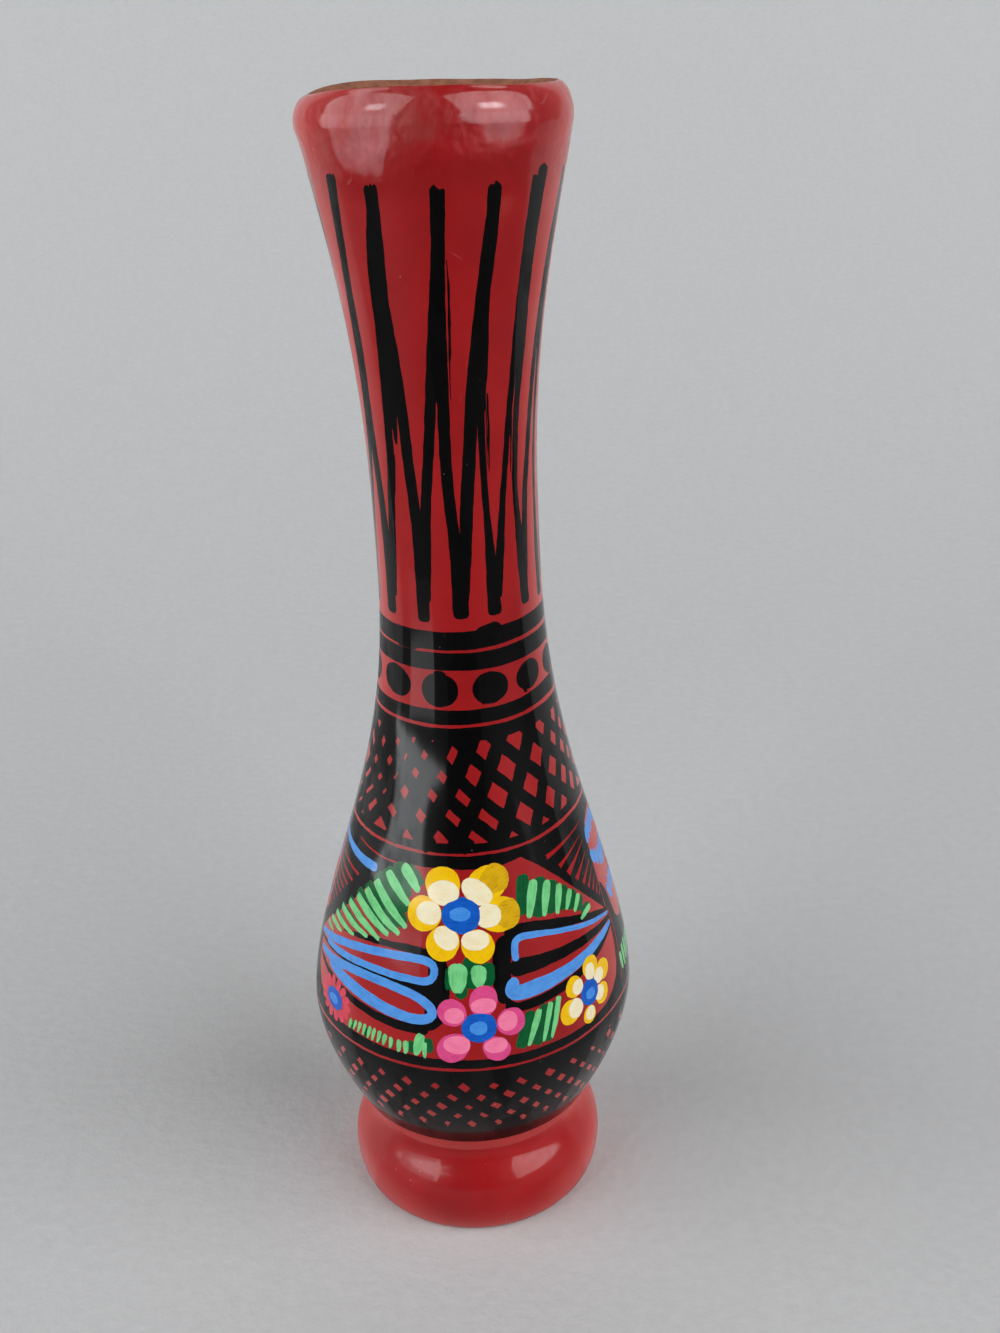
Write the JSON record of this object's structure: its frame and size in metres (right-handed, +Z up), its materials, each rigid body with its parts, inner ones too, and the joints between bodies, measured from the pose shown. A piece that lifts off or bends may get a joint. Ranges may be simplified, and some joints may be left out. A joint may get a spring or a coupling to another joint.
{
  "type": "clay vase",
  "caption": "Slender hand-made clay vase with a rolled foot, round belly, long neck and flared rolled lip, lacquered red and black with a painted flower panel.",
  "frame": {"origin": "middle of the standing ring under the foot, on the vase's axis", "axes": "+Z up along the vase's axis; -Y faces the viewer of the painted flower panel; +X to that viewer's right"},
  "size_m": [0.0594, 0.0594, 0.2],
  "materials": {
    "red_lacquer": "glossy lacquer",
    "black_lacquer": "glossy lacquer",
    "raw_clay": "matte fired clay",
    "yellow_paint": "glossy brushed paint",
    "cream_paint": "glossy brushed paint",
    "blue_paint": "glossy brushed paint",
    "sky_blue_paint": "glossy brushed paint",
    "green_paint": "glossy brushed paint",
    "light_green_paint": "glossy brushed paint",
    "pink_paint": "glossy brushed paint",
    "light_pink_paint": "glossy brushed paint"
  },
  "bodies": {
    "root": {"foot": "red_lacquer", "foot_slip": "raw_clay", "bowl": "black_lacquer", "belly_slip": "raw_clay", "shoulder": "black_lacquer", "neck_slip": "raw_clay", "neck": "red_lacquer", "lip_slip": "raw_clay", "lip": "red_lacquer"}
  },
  "joints": []
}
